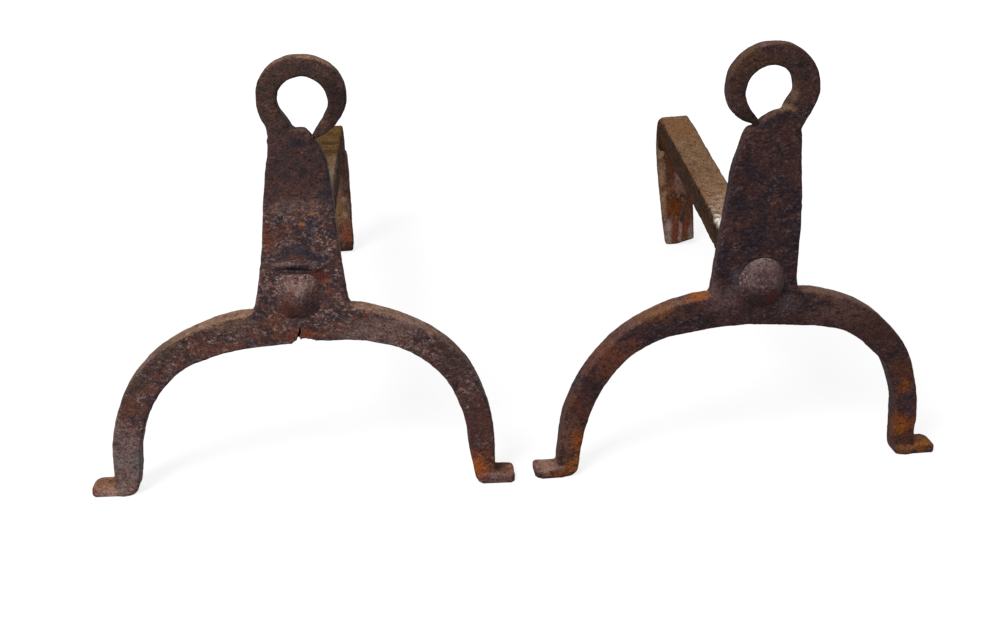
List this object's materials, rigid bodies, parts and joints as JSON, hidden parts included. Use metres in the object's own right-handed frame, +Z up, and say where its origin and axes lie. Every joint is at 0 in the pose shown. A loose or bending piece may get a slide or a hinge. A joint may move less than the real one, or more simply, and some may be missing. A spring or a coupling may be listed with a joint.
{
  "type": "andirons",
  "caption": "Pair of hand-forged iron andirons with curled ring eyes, arched front legs and square billet bars that hold logs off the hearth.",
  "frame": {"origin": "on the hearth, under the middle of the pair's bounding box", "axes": "+X to the viewer's right along the front of the hearth, +Y from the front to the back of the hearth along the left billet bar, +Z up"},
  "size_m": [0.5764, 0.5076, 0.2895],
  "materials": {
    "left_front_iron": "hand-forged wrought iron, purplish-brown old rust with grey speckle, matt",
    "right_front_iron": "hand-forged wrought iron, dark purple-brown and smoother, matt",
    "billet_iron": "hand-forged wrought iron, tan and olive scale on the log rest, dark brown sides",
    "rear_leg_iron": "hand-forged wrought iron, orange rust with grey streaks",
    "rivet_iron": "hammered head, greyish pink on top and rust red below"
  },
  "bodies": {
    "left_andiron": {"left_upright": "left_front_iron", "left_eye": "left_front_iron", "left_outer_leg": "left_front_iron", "left_inner_leg": "left_front_iron", "left_billet_bar": "billet_iron", "left_rear_leg": "rear_leg_iron", "left_rivet": "rivet_iron"},
    "right_andiron": {"right_upright": "right_front_iron", "right_eye": "right_front_iron", "right_inner_leg": "right_front_iron", "right_outer_leg": "right_front_iron", "right_billet_bar": "billet_iron", "right_rear_leg": "rear_leg_iron", "right_rivet": "rivet_iron"}
  },
  "joints": [
    {"name": "pair_spacing", "type": "slide", "parent": "left_andiron", "child": "right_andiron", "axis": [1, 0, 0], "range_m": [-0.0105, 0.3]}
  ]
}
